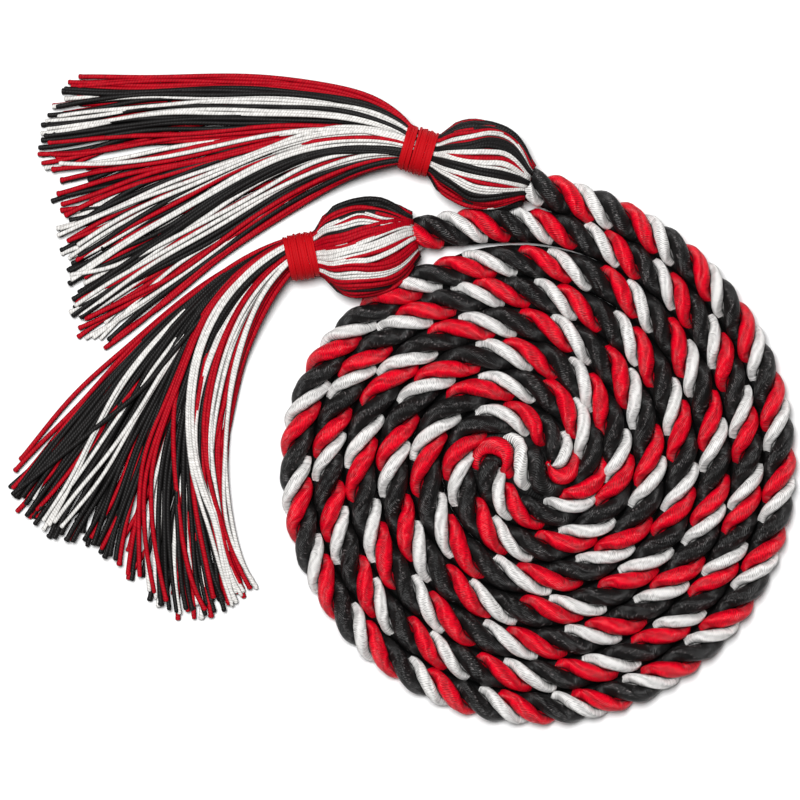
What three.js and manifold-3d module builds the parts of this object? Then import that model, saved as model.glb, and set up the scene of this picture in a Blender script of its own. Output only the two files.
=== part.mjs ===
// Honor cord: a three-strand rope with a tassel on each end, laid flat. The rope is wound from its
// middle into a double spiral, so both ends leave the coil at the top left, side by side.
// Millimetres, +Z up, resting on Z = 0. The layout is drawn about the middle of the rope, where the
// two arms of the spiral meet, and then moved so that the origin is under the middle of the whole.
import * as THREE from 'three';
import { mergeVertices } from 'three/addons/utils/BufferGeometryUtils.js';
import Module from 'manifold-3d';

// Rope and flat coil
const ROPE_DIAMETER = 7.1;
const ROPE_SIDES = 8;
const TURN_GAP = 0.3;
const STATIONS_PER_HALF_TURN = 15;
const UPPER_ARM_DEGREES = 8 * 180 + 72;
const LOWER_ARM_DEGREES = 7 * 180 + 84;
// The stretch of the upper tassel's arm that the lower tassel's head lies against
const DENT_FROM_DEGREES = 6 * 180 + 96;
const DENT_TO_DEGREES = 6 * 180 + 156;
const STATION_DEGREES = 180 / STATIONS_PER_HALF_TURN;
const TURN_SPACING = ROPE_DIAMETER + TURN_GAP;
const ROPE_RADIUS = ROPE_DIAMETER / 2;

// Clearance between pieces that lie or fit against each other
const CLEARANCE = 0.3;

// Facets of a joined body that depart less than this from their neighbours are merged
const FACET_TOLERANCE = 0.04;
const MERGE_DISTANCE = 1e-4;

// The rope between the coil and each tassel, as chosen points measured from the rope's middle line
// where its arm leaves the coil. Each starts a clearance past the coil's end.
const UPPER_LEAD_ROUTE = [
  [-0.3, 0.1, 0],
  [-3.6, 1.2, 0.15],
  [-7.0, 2.3, 0.75],
  [-10.5, 3.4, 1.3],
  [-14.1, 4.5, 1.5],
];
const LOWER_LEAD_ROUTE = [
  [-0.3, 0.05, 0],
  [-5.7, 0.4, 0.05],
  [-11.3, 0.3, 0.35],
  [-16.5, -0.3, 0.85],
  [-21.5, -1.2, 1.35],
  [-26.3, -2.1, 1.5],
];
const LEAD_STEPS = 10;

// Binding: red thread wound round the neck of each tassel
const BINDING_LENGTH = 6.6;
const BINDING_RADIUS = 5.4;
const BINDING_WALL = 1.1;
const BINDING_BULGE = 0.3;
const NECK_HEIGHT = 5.7;
const NECK_RADIUS = BINDING_RADIUS - BINDING_WALL - CLEARANCE;
const ROUND_SIDES = 20;

// Head: the yarns folded back over the end of the rope, a soft bulb
const HEAD_LENGTH = 22.6;
const HEAD_HEIGHT = 15.6;
const HEAD_RISE = 1.9;
// Each row is a section: place as a share of the head's length, size as a share of its width and
// height, and bow as a share of the head's rise and of its lean to one side
const HEAD_SECTIONS = [
  { place: 0, size: 0.45, bow: 0 },
  { place: 0.1, size: 0.74, bow: 0.35 },
  { place: 0.26, size: 0.94, bow: 0.8 },
  { place: 0.45, size: 1, bow: 1 },
  { place: 0.64, size: 0.93, bow: 0.9 },
  { place: 0.8, size: 0.76, bow: 0.6 },
  { place: 0.93, size: 0.54, bow: 0.2 },
  { place: 1, size: 0.38, bow: 0 },
];

// Skirt: the cut yarns below the binding, as locks that fan out and lie down. The pulls say how far
// a lock keeps the headings of its two ends, as shares of its reach
const SKIRT_LENGTH = 84;
const ROOT_WIDTH = 9.5;
const ROOT_HEIGHT = 9.6;
const ROOT_SPREAD = 5.2;
const LOCK_WIDTH = 7.4;
const LOCK_HEIGHT = 4.6;
const TIP_WIDTH = 5.6;
const TIP_HEIGHT = 2.4;
const ROOT_PULL = 0.26;
const TIP_PULL = 0.35;
const LOCK_SIDES = 6;
const LOCK_STEPS = 8;
// The shares of a lock's way over which it opens from the root and sinks to the surface, and the
// share of its section's half height that the flat underside cuts off
const LOCK_OPENS_BY = 0.25;
const LOCK_SINKS_BY = 0.45;
const LOCK_FLAT = 0.5;

// Upper and lower tassels: the heading from the skirt to the rope, and the head's width and its
// lean to the left of that heading.
// Each row of locks is one lock, from the upper edge of the fan to the lower: the reach of its tip
// as a share of the skirt's length, the bearing of the tip from the root, and the headings of the
// yarns where they leave the root and where they end, in degrees from the layout's +X
const UPPER_TASSEL = {
  name: 'upper_tassel',
  rope: { arm: UPPER_ARM_DEGREES, side: 1, route: UPPER_LEAD_ROUTE },
  heading: -17.2,
  headWidth: 20,
  headLean: 2,
  locks: [
    { reach: 0.933, bearing: 169.8, leave: 140, end: 181 },
    { reach: 0.963, bearing: 172.9, leave: 145, end: 183 },
    { reach: 0.974, bearing: 177.0, leave: 149, end: 186 },
    { reach: 0.995, bearing: 180.8, leave: 154, end: 189 },
    { reach: 0.944, bearing: 185.2, leave: 158, end: 192 },
    { reach: 0.948, bearing: 189.5, leave: 163, end: 195 },
    { reach: 0.962, bearing: 193.7, leave: 167, end: 199 },
    { reach: 0.956, bearing: 198.3, leave: 172, end: 203 },
    { reach: 0.973, bearing: 202.8, leave: 176, end: 207 },
    { reach: 1.006, bearing: 206.4, leave: 181, end: 210 },
    { reach: 1.01, bearing: 209.4, leave: 185, end: 212 },
    { reach: 0.99, bearing: 212.4, leave: 189, end: 215 },
  ],
};
const LOWER_TASSEL = {
  name: 'lower_tassel',
  rope: { arm: LOWER_ARM_DEGREES, side: -1, route: LOWER_LEAD_ROUTE },
  heading: 11,
  headWidth: 21.6,
  headLean: -1.2,
  locks: [
    { reach: 0.95, bearing: 218.4, leave: 200, end: 225 },
    { reach: 0.985, bearing: 221.7, leave: 203, end: 228 },
    { reach: 0.982, bearing: 225.6, leave: 205, end: 233 },
    { reach: 0.975, bearing: 230.4, leave: 207, end: 239 },
    { reach: 0.957, bearing: 234.5, leave: 210, end: 245 },
    { reach: 0.952, bearing: 238.6, leave: 213, end: 251 },
    { reach: 0.968, bearing: 243.6, leave: 216, end: 257 },
    { reach: 0.996, bearing: 248.5, leave: 219, end: 263 },
    { reach: 1.01, bearing: 252.8, leave: 222, end: 269 },
    { reach: 0.997, bearing: 256.7, leave: 226, end: 275 },
    { reach: 0.951, bearing: 260.1, leave: 229, end: 281 },
    { reach: 0.912, bearing: 262.9, leave: 232, end: 287 },
  ],
};

const ROPE_MATERIAL = { color: 0x7a1a20, roughness: 0.45, metalness: 0 };
const YARN_MATERIAL = { color: 0x8c3a3c, roughness: 0.6, metalness: 0 };
const BINDING_MATERIAL = { color: 0xd3151f, roughness: 0.55, metalness: 0 };

const wasm = await Module();
wasm.setup();

// One arm of the spiral at a winding angle: half turns about two centres, one turn spacing apart,
// each half turn a turn spacing wider than the one before it on that centre
function armPoint(degrees) {
  const halfTurn = Math.floor(degrees / 180);
  const centre = (halfTurn % 2 === 0 ? -1 : 1) * TURN_SPACING / 2;
  const radius = (halfTurn + 0.5) * TURN_SPACING;
  const angle = THREE.MathUtils.degToRad(degrees);
  return new THREE.Vector3(centre + radius * Math.cos(angle), radius * Math.sin(angle), ROPE_RADIUS);
}

function armTangent(degrees) {
  const angle = THREE.MathUtils.degToRad(degrees);
  return new THREE.Vector3(-Math.sin(angle), Math.cos(angle), 0);
}

// A point of the rope in the coil: positive windings lie on the upper tassel's arm, negative ones on
// the lower tassel's arm, which is the same arm turned half round
function coilPoint(winding) {
  const point = armPoint(Math.abs(winding));
  if (winding < 0) point.set(-point.x, -point.y, point.z);
  return point;
}

class CoilLine extends THREE.Curve {
  constructor(from, to) {
    super();
    this.from = from;
    this.to = to;
    this.steps = Math.round((to - from) / STATION_DEGREES);
  }

  getPoint(share) {
    return coilPoint(THREE.MathUtils.lerp(this.from, this.to, share));
  }

  getPointAt(share) {
    return this.getPoint(share);
  }

  getTangentAt(share) {
    return armTangent(Math.abs(THREE.MathUtils.lerp(this.from, this.to, share)));
  }
}

// A rope section with a flat side down, whose sides touch a circle of the given radius
function ropeSection(radius) {
  const points = [];
  const corner = radius / Math.cos(Math.PI / ROPE_SIDES);
  for (let side = 0; side < ROPE_SIDES; side += 1) {
    const angle = (side + 0.5) * 2 * Math.PI / ROPE_SIDES;
    points.push(new THREE.Vector2(corner * Math.cos(angle), corner * Math.sin(angle)));
  }
  return new THREE.Shape(points);
}

function ropeAlong(curve, steps, radius) {
  return new THREE.ExtrudeGeometry(ropeSection(radius), { extrudePath: curve, steps });
}

// A tassel's lead as points on the layout, from the coil to the rope's end in the tassel's head
function leadPoints({ arm, side, route }) {
  const start = coilPoint(side * arm);
  return route.map(([x, y, z]) => new THREE.Vector3(x, y, z).add(start));
}

function leadOf(tassel) {
  return ropeAlong(new THREE.CatmullRomCurve3(leadPoints(tassel.rope)), LEAD_STEPS, ROPE_RADIUS);
}

// A closed solid drawn through sections: place(share, side, up) gives the point at a share of the
// way along, with side and up from -1 to 1 across a round section
function loft(sides, steps, place) {
  const geometry = new THREE.CylinderGeometry(1, 1, 1, sides, steps);
  const position = geometry.attributes.position;
  for (let index = 0; index < position.count; index += 1) {
    const share = position.getY(index) + 0.5;
    const point = place(share, position.getX(index), -position.getZ(index));
    position.setXYZ(index, point.x, point.y, point.z);
  }
  return geometry;
}

function toManifold(geometry) {
  const bare = geometry.clone();
  bare.deleteAttribute('normal');
  bare.deleteAttribute('uv');
  const merged = mergeVertices(bare, MERGE_DISTANCE);
  return new wasm.Manifold(new wasm.Mesh({
    numProp: 3,
    vertProperties: merged.attributes.position.array,
    triVerts: new Uint32Array(merged.index.array),
  }));
}

function toGeometry(solid) {
  const mesh = solid.getMesh();
  const geometry = new THREE.BufferGeometry();
  geometry.setAttribute('position', new THREE.BufferAttribute(mesh.vertProperties, 3));
  geometry.setIndex(new THREE.BufferAttribute(mesh.triVerts, 1));
  geometry.computeVertexNormals();
  return geometry;
}

function mesh(name, geometry, material) {
  const piece = new THREE.Mesh(geometry, new THREE.MeshStandardMaterial(material));
  piece.name = name;
  return piece;
}

function headingVector(degrees) {
  const angle = THREE.MathUtils.degToRad(degrees);
  return new THREE.Vector3(Math.cos(angle), Math.sin(angle), 0);
}

// A tassel's own places and directions on the layout: the rope's end, the middle of its binding,
// the way along it from the skirt to the rope, and across it to the left of that way
function axesOf(tassel) {
  const ropeEnd = leadPoints(tassel.rope).at(-1);
  const along = headingVector(tassel.heading);
  const across = headingVector(tassel.heading + 90);
  const toBinding = CLEARANCE + HEAD_LENGTH + CLEARANCE + BINDING_LENGTH / 2;
  const middle = ropeEnd.clone().addScaledVector(along, -toBinding).setZ(NECK_HEIGHT);
  return { ropeEnd, middle, along, across };
}

function bindingOf(tassel) {
  const inner = BINDING_RADIUS - BINDING_WALL;
  const half = BINDING_LENGTH / 2;
  const profile = [
    [inner, -half],
    [BINDING_RADIUS - BINDING_BULGE, -half],
    [BINDING_RADIUS, -half / 2],
    [BINDING_RADIUS, half / 2],
    [BINDING_RADIUS - BINDING_BULGE, half],
    [inner, half],
    [inner, -half],
  ];
  const geometry = new THREE.LatheGeometry(profile.map(([r, y]) => new THREE.Vector2(r, y)), ROUND_SIDES);
  const piece = mesh(`${tassel.name}_binding`, geometry, BINDING_MATERIAL);
  const { middle, along } = axesOf(tassel);
  piece.position.copy(middle);
  piece.quaternion.setFromUnitVectors(new THREE.Vector3(0, 1, 0), along);
  return piece;
}

// The head reaches from the binding to the rope, and lies flat on its underside
function headOf(tassel) {
  const { ropeEnd, middle, along, across } = axesOf(tassel);
  const start = BINDING_LENGTH / 2 + CLEARANCE;
  const steps = HEAD_SECTIONS.length - 1;
  return loft(ROUND_SIDES, steps, (share, side, up) => {
    const section = HEAD_SECTIONS[Math.round(share * steps)];
    const point = middle.clone();
    point.addScaledVector(along, start + section.place * HEAD_LENGTH);
    point.addScaledVector(across, side * section.size * tassel.headWidth / 2);
    point.addScaledVector(across, section.bow * tassel.headLean);
    const level = THREE.MathUtils.lerp(NECK_HEIGHT, ropeEnd.z, section.place);
    const high = up * section.size * HEAD_HEIGHT / 2;
    point.z = Math.max(0, level + section.bow * HEAD_RISE + high);
    return point;
  });
}

// The neck passes through the binding and ends inside the head and the skirt
function neckOf(tassel) {
  const { middle, along } = axesOf(tassel);
  const length = BINDING_LENGTH + 2 * CLEARANCE + 2 * NECK_RADIUS;
  const geometry = new THREE.CylinderGeometry(NECK_RADIUS, NECK_RADIUS, length, ROUND_SIDES);
  const turn = new THREE.Quaternion().setFromUnitVectors(new THREE.Vector3(0, 1, 0), along);
  return geometry.applyQuaternion(turn).translate(middle.x, middle.y, middle.z);
}

// A lock's line on the surface, from the root to its tip
function lockLine(tassel, lock, order) {
  const { middle, along, across } = axesOf(tassel);
  const reach = lock.reach * SKIRT_LENGTH;
  const spread = (0.5 - order / (tassel.locks.length - 1)) * ROOT_SPREAD;
  const rootMiddle = middle.clone().setZ(0).addScaledVector(along, -BINDING_LENGTH / 2 - CLEARANCE);
  const root = rootMiddle.clone().addScaledVector(across, spread);
  const tip = rootMiddle.clone().addScaledVector(headingVector(lock.bearing), reach);
  const leaving = root.clone().addScaledVector(headingVector(lock.leave), ROOT_PULL * reach);
  const arriving = tip.clone().addScaledVector(headingVector(lock.end), -TIP_PULL * reach);
  return new THREE.CubicBezierCurve3(root, leaving, arriving, tip);
}

// One lock: it is as high as the root where it starts, widens and sinks as it goes, and lies on
// the surface with a flat underside
function lockOf(tassel, lock, order) {
  const line = lockLine(tassel, lock, order);
  const { across } = axesOf(tassel);
  return loft(LOCK_SIDES, LOCK_STEPS, (share, side, up) => {
    const tangent = line.getTangent(share);
    const opening = THREE.MathUtils.smoothstep(share, 0, LOCK_OPENS_BY);
    const fall = THREE.MathUtils.smoothstep(share, 0, LOCK_SINKS_BY);
    const left = across.clone().negate().lerp(new THREE.Vector3(-tangent.y, tangent.x, 0), opening);
    const open = THREE.MathUtils.lerp(ROOT_WIDTH - ROOT_SPREAD, LOCK_WIDTH, opening);
    const width = THREE.MathUtils.lerp(open, TIP_WIDTH, share * share);
    const high = THREE.MathUtils.lerp(ROOT_HEIGHT, LOCK_HEIGHT, fall);
    const height = THREE.MathUtils.lerp(high, TIP_HEIGHT, share * share);
    const lift = (NECK_HEIGHT - ROOT_HEIGHT / 2) * (1 - fall);
    const point = line.getPoint(share).addScaledVector(left.normalize(), side * width / 2);
    point.z = lift + Math.max(0, (up + LOCK_FLAT) / (1 + LOCK_FLAT)) * height;
    return point;
  });
}

function tasselOf(tassel, dents) {
  let solid = toManifold(headOf(tassel));
  for (const dent of dents) solid = solid.subtract(toManifold(dent));
  solid = solid.add(toManifold(neckOf(tassel)));
  tassel.locks.forEach((lock, order) => {
    solid = solid.add(toManifold(lockOf(tassel, lock, order)));
  });
  solid = solid.simplify(FACET_TOLERANCE);
  return mesh(`${tassel.name}_yarns`, toGeometry(solid), YARN_MATERIAL);
}

// The soft lower head lies against the coil's outermost turn, which dents it over this stretch
function outerTurnDent() {
  const from = Math.floor(DENT_FROM_DEGREES / STATION_DEGREES) * STATION_DEGREES;
  const to = Math.ceil(DENT_TO_DEGREES / STATION_DEGREES) * STATION_DEGREES;
  const line = new CoilLine(from, to);
  return ropeAlong(line, line.steps, ROPE_RADIUS + CLEARANCE);
}

const coilLine = new CoilLine(-LOWER_ARM_DEGREES, UPPER_ARM_DEGREES);
const layout = new THREE.Group();
layout.add(
  mesh('rope_coil', ropeAlong(coilLine, coilLine.steps, ROPE_RADIUS), ROPE_MATERIAL),
  mesh('upper_rope_lead', leadOf(UPPER_TASSEL), ROPE_MATERIAL),
  mesh('lower_rope_lead', leadOf(LOWER_TASSEL), ROPE_MATERIAL),
  tasselOf(UPPER_TASSEL, []),
  bindingOf(UPPER_TASSEL),
  tasselOf(LOWER_TASSEL, [outerTurnDent()]),
  bindingOf(LOWER_TASSEL),
);

const cord = new THREE.Group();
cord.name = 'honor_cord';
cord.add(layout);
const middle = new THREE.Box3().setFromObject(layout).getCenter(new THREE.Vector3());
layout.position.set(-middle.x, -middle.y, 0);

export default cord;
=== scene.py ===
import math
import random

import bpy
import numpy as np
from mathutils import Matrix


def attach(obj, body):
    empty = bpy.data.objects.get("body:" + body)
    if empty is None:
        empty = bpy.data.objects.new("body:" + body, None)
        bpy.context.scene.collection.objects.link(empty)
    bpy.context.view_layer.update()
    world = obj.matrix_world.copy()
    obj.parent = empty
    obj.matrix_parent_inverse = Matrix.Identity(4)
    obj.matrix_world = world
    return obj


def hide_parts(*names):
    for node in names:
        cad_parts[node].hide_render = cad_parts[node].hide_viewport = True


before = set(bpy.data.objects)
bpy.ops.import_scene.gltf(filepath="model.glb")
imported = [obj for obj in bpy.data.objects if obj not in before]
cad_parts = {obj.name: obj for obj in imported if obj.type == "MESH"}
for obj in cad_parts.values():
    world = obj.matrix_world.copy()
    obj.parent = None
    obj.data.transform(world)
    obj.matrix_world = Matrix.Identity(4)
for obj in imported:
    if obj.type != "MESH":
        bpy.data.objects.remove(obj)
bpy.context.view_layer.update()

# The view
# The cord lies on a plain white table and is seen from straight above, with its top edge up in the
# picture. Soft light comes from all round, and from a large lamp above the top left corner.
SEEN_FROM = 1.2
SEEN_WIDTH = 0.18385
SEEN_MIDDLE = (-0.0002, -0.00053)
SENSOR_WIDTH = 36.0
TABLE_REACH = 2
TABLE_WHITE = (0.93, 0.93, 0.93, 1)
TABLE_ROUGHNESS = 0.9
TABLE_SPECULAR = 0.1
ROOM_WHITE = (1, 1, 1, 1)
ROOM_LIGHT = 0.12
LAMP_PLACE = (-0.2, 0.3, 1.5)
LAMP_SIZE = 0.6
LAMP_POWER = 30.0

camera = bpy.data.objects.new("camera", bpy.data.cameras.new("camera"))
camera.location = (SEEN_MIDDLE[0], SEEN_MIDDLE[1], SEEN_FROM)
camera.data.sensor_width = SENSOR_WIDTH
camera.data.lens = SENSOR_WIDTH * SEEN_FROM / SEEN_WIDTH
bpy.context.scene.collection.objects.link(camera)
bpy.context.scene.camera = camera
bpy.context.scene.view_settings.view_transform = "Standard"

white_table = bpy.data.materials.new("white_table")
white_table.use_nodes = True
table_paint = white_table.node_tree.nodes["Principled BSDF"]
table_paint.inputs["Base Color"].default_value = TABLE_WHITE
table_paint.inputs["Roughness"].default_value = TABLE_ROUGHNESS
table_paint.inputs["Specular IOR Level"].default_value = TABLE_SPECULAR

table_mesh = bpy.data.meshes.new("table")
table_corners = [(x * TABLE_REACH, y * TABLE_REACH, 0) for x, y in ((-1, -1), (1, -1), (1, 1), (-1, 1))]
table_mesh.from_pydata(table_corners, [], [(0, 1, 2, 3)])
table_mesh.materials.append(white_table)
table = bpy.data.objects.new("table", table_mesh)
bpy.context.scene.collection.objects.link(table)

room = bpy.data.worlds.new("room")
room.use_nodes = True
room.node_tree.nodes["Background"].inputs["Color"].default_value = ROOM_WHITE
room.node_tree.nodes["Background"].inputs["Strength"].default_value = ROOM_LIGHT
bpy.context.scene.world = room

lamp_light = bpy.data.lights.new("lamp_above", "AREA")
lamp_light.size = LAMP_SIZE
lamp_light.energy = LAMP_POWER
lamp = bpy.data.objects.new("lamp_above", lamp_light)
lamp.location = LAMP_PLACE
lamp_way = np.array(LAMP_PLACE) / np.linalg.norm(LAMP_PLACE)
lamp.rotation_euler = (math.acos(lamp_way[2]), 0, math.atan2(lamp_way[0], -lamp_way[1]))
bpy.context.scene.collection.objects.link(lamp)

# The rope
# Three strands, each a bundle of plies wrapped in fine satin yarn, are laid round each other: red,
# white and black. The rope lies wound from its middle into a flat double spiral of half turns about
# two centres, and both ends leave it at the top left and run to the tassels, a little off the table.
TURN_SPACING = 0.0074
ROPE_DIAMETER = 0.0071
ROPE_MIDDLE = np.array((0.027625, -0.015702, ROPE_DIAMETER / 2))
UPPER_ARM_DEGREES = 8 * 180 + 72
LOWER_ARM_DEGREES = 7 * 180 + 84
# The rope's points from each end of the coil to its tassel, in millimetres from that end
UPPER_LEAD = ((-0.3, 0.1, 0), (-3.6, 1.2, 0.15), (-7.0, 2.3, 0.75), (-10.5, 3.4, 1.3), (-14.1, 4.5, 1.5))
LOWER_LEAD = (
    (-0.3, 0.05, 0),
    (-5.7, 0.2, 0.05),
    (-11.3, 0, 0.35),
    (-16.5, -0.6, 0.85),
    (-21.5, -1.4, 1.35),
    (-26.3, -2.1, 1.5),
)
ROUTE_STEP_DEGREES = 12
FINE_STEP_DEGREES = 1
# The coil isn't wound quite evenly, near its middle and below the lower tassel's rope: at these
# windings, in degrees, the rope lies this many millimetres to the right of its even place and above it
PULLED_AT = (
    -1080, -1035, -1005, -975, -940,
    -720, -540, -450, -360, -270, -225, -180, -135, -45, -22, 0,
    22, 45, 135, 180, 225, 270, 360, 450, 540, 720,
    770, 800, 830, 880, 1140, 1160, 1185, 1210, 1260,
)
PULLED_RIGHT = (
    0, 0, 0, 0, 0,
    0, 0.1, 0.2, 0.3, 0.3, 1.1, 2.4, 2.9, 2.9, 2.3, 1,
    -0.3, -0.9, -0.9, -0.3, 0.5, 0.9, 1.4, 0.7, 0.1, 0,
    0, 0, 0, 0, 0, 0, 0, 0, 0,
)
PULLED_UP = (
    0, -0.6, -0.9, -0.5, 0,
    0, 0, 0.1, 0.2, 0.3, 0.2, 0.7, 0.8, 0.7, 0.4, 0.1,
    -0.1, -0.2, -0.2, -0.1, 0.1, 0.2, 0.3, 0.2, 0.1, 0,
    0, -0.3, -0.5, 0, 0, -0.7, -1.8, -1.6, 0,
)
# The rope is a little wider than even, flattened at the coil's middle and fuller at its free ends
WIDER_THAN_EVEN = 1.01
MIDDLE_SPREAD = 0.42
MIDDLE_SPREAD_OVER = 0.0075
FREE_SPREAD = 0.12
FREE_FROM_END = (0.022, 0.04)
HIDDEN_IN_HEAD = 0.004
LYING_HEIGHT = 0.00002
# A strand fills its share of the rope from near the middle to the outside, and its plies drift
# across it from lay to lay
STATION_SPACING = 0.00046
ROPE_OUTER = 0.00372
GROOVE_RADIUS = 0.0019
CORE_RADIUS = 0.0004
OUTER_SIDES = 22
INNER_SIDES = 6
STRAND_ROUNDNESS = 1.6
CROWDED_AT_EDGES = 0.9
# How sharply the painted shade at a strand's edges, where the next strand covers it, sets in
EDGE_SHADE_ROUNDNESS = 0.7
PLY_RISE = 0.00022
PLY_SUNK = 0.7
PLIES_SHOWN = 2.2
PLY_DRIFT_PER_LAY = 0.9
PLY_START_PER_SEED = 0.37
LAY_ANGLE = math.radians(38)
SWELL = 0.02
SWELL_EVERY = 0.009
NIPPED_FROM = 35
NIPPED_OVER = 60
# How far along the coil, in millimetres from its upper end, the red strand has come over the top this
# many times: the lay is short at both ends and at the middle, and long between
LAYS_COUNTED = (0, 5, 10, 15, 20, 25, 30, 35, 38, 40, 42, 44, 46, 50, 55, 60, 65, 70, 75, 77, 78)
LAYS_REACHED = (
    13, 99, 187, 282, 374, 467, 573, 673, 740, 781, 817,
    847, 887, 963, 1066, 1161, 1252, 1348, 1435, 1469, 1485,
)
LAYS_BEFORE = 3
LAYS_AFTER = 4
# Each strand: how far it lags the red one round the rope, half the angle that it takes up, how much
# of that it loses where it is nipped at the sides of the rope, and a seed for its own unevenness
STRANDS = {
    "red": (0, 68, 0.4, 1),
    "white": (-110, 51, 0.48, 2),
    "black": (-228, 70, 0.1, 3),
}
# A black tube in the rope's middle, painted shade that fills the gaps between the strands; it is narrower
# where the table beside the rope is bare
CORE_STATION_SPACING = 0.00276
CORE_SIDES = 10
CORE_HALF_WIDTH = 0.00374
CORE_BARE_HALF_WIDTH = 0.0019
CORE_HALF_HEIGHT = 0.0011
CORE_DROP = 0.001
CORE_MIDDLE_EXTRA = 0.0011
CORE_MIDDLE_OVER = 0.018
BARE_FROM_TURNS = 0.3
BARE_OVER_TURNS = 0.25
BARE_SOFTENED_OVER = 5


def coil_points(windings):
    """The rope's middle line at these windings: above 0 on the upper tassel's arm, below 0 on the
    lower one's."""
    half_turns = np.floor(np.abs(windings) / 180)
    centres = np.where(half_turns % 2 == 0, -0.5, 0.5) * TURN_SPACING
    radii = (half_turns + 0.5) * TURN_SPACING
    angles = np.radians(np.abs(windings))
    sides = np.where(windings < 0, -1.0, 1.0)
    flat = np.zeros_like(angles)
    around = [sides * (centres + radii * np.cos(angles)), sides * radii * np.sin(angles), flat]
    pulled = [np.interp(windings, PULLED_AT, pull) / 1000 for pull in (PULLED_RIGHT, PULLED_UP)]
    return np.stack(around, axis=1) + np.stack([*pulled, flat], axis=1) + ROPE_MIDDLE


def rope_route(step):
    """The rope's points from the upper tassel to the lower one, every so many degrees in the coil."""
    windings = np.arange(UPPER_ARM_DEGREES, -LOWER_ARM_DEGREES - 1, -step, dtype=float)
    upper = coil_points(windings[:1]) + np.array(UPPER_LEAD[::-1]) / 1000
    lower = coil_points(windings[-1:]) + np.array(LOWER_LEAD) / 1000
    return np.concatenate([upper, coil_points(windings), lower])


def between(share, before, first, second, after):
    """A share of the way from the first to the second of four values, on a smooth line through them."""
    bend = 2 * before - 5 * first + 4 * second - after
    close = 3 * first - before - 3 * second + after
    return first + 0.5 * share * (second - before + share * (bend + share * close))


def smooth_line(points, spacing):
    """Points this far apart on a smooth curve through the given ones."""
    points = np.asarray(points, dtype=float)
    ends = [2 * points[0] - points[1], *points, 2 * points[-1] - points[-2]]
    found = []
    for four in zip(ends, ends[1:], ends[2:], ends[3:]):
        steps = max(2, int(np.linalg.norm(four[2] - four[1]) / spacing) + 1)
        share = np.linspace(0, 1, steps, endpoint=False)[:, None]
        found.append(between(share, *four))
    return np.concatenate([*found, points[-1:]])


def way_along(points):
    """How far along a line each of its points is."""
    return np.concatenate([[0], np.cumsum(np.linalg.norm(np.diff(points, axis=0), axis=1))])


def evenly(points, spacing):
    """Points this far apart along a line, and how far along it each is."""
    way = way_along(points)
    along = np.linspace(0, way[-1], int(round(way[-1] / spacing)) + 1)
    return np.stack([np.interp(along, way, points[:, axis]) for axis in range(3)], axis=1), along


def rope_line():
    """The rope's middle line in small even steps, carried on a little into both heads."""
    fine = rope_route(FINE_STEP_DEGREES)
    fine = np.concatenate([
        smooth_line(fine[: len(UPPER_LEAD) + 2], STATION_SPACING),
        fine[len(UPPER_LEAD) + 2 : -len(LOWER_LEAD) - 2],
        smooth_line(fine[-len(LOWER_LEAD) - 2 :], STATION_SPACING),
    ])
    first, last = fine[0] - fine[1], fine[-1] - fine[-2]
    first = fine[0] + first / np.linalg.norm(first) * HIDDEN_IN_HEAD
    last = fine[-1] + last / np.linalg.norm(last) * HIDDEN_IN_HEAD
    return evenly(np.concatenate([[first], fine, [last]]), STATION_SPACING)


def across_line(points):
    """At each point of a line: the way to its left along the table, and the way up from it."""
    ahead = np.gradient(points, axis=0)
    ahead /= np.linalg.norm(ahead, axis=1, keepdims=True)
    left = np.stack([-ahead[:, 1], ahead[:, 0], np.zeros(len(points))], axis=1)
    left /= np.linalg.norm(left, axis=1, keepdims=True)
    return left, np.cross(ahead, left)


def twist_along(along):
    """The turns that the strands have made at these distances from the rope's upper end."""
    coil_from = way_along(ROPE_ROUTE[: len(UPPER_LEAD) + 1])[-1]
    reached = np.array(LAYS_REACHED) / 1000 + coil_from
    first = (reached[1] - reached[0]) / (LAYS_COUNTED[1] - LAYS_COUNTED[0])
    last = (reached[-1] - reached[-2]) / (LAYS_COUNTED[-1] - LAYS_COUNTED[-2])
    at = [reached[0] - LAYS_BEFORE * first, *reached, reached[-1] + LAYS_AFTER * last]
    count = [LAYS_COUNTED[0] - LAYS_BEFORE, *LAYS_COUNTED, LAYS_COUNTED[-1] + LAYS_AFTER]
    return np.interp(along, at, count)


def near_middle(line, along, over):
    """From 0 to 1, how near each point of the rope is to the coil's middle, along the rope."""
    middle = along[np.argmin(np.linalg.norm(line - coil_points(np.zeros(1)), axis=1))]
    return np.exp(-(((along - middle) / over) ** 2))


def spread_out(line, along):
    """How much wider than even the rope is at each point."""
    free = np.interp(np.minimum(along, along[-1] - along), FREE_FROM_END, (FREE_SPREAD, 0))
    return WIDER_THAN_EVEN + free + MIDDLE_SPREAD * near_middle(line, along, MIDDLE_SPREAD_OVER)


def ease(value):
    """From 0 to 1, slow at both ends."""
    value = np.clip(value, 0, 1)
    return value * value * (3 - 2 * value)


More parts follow.
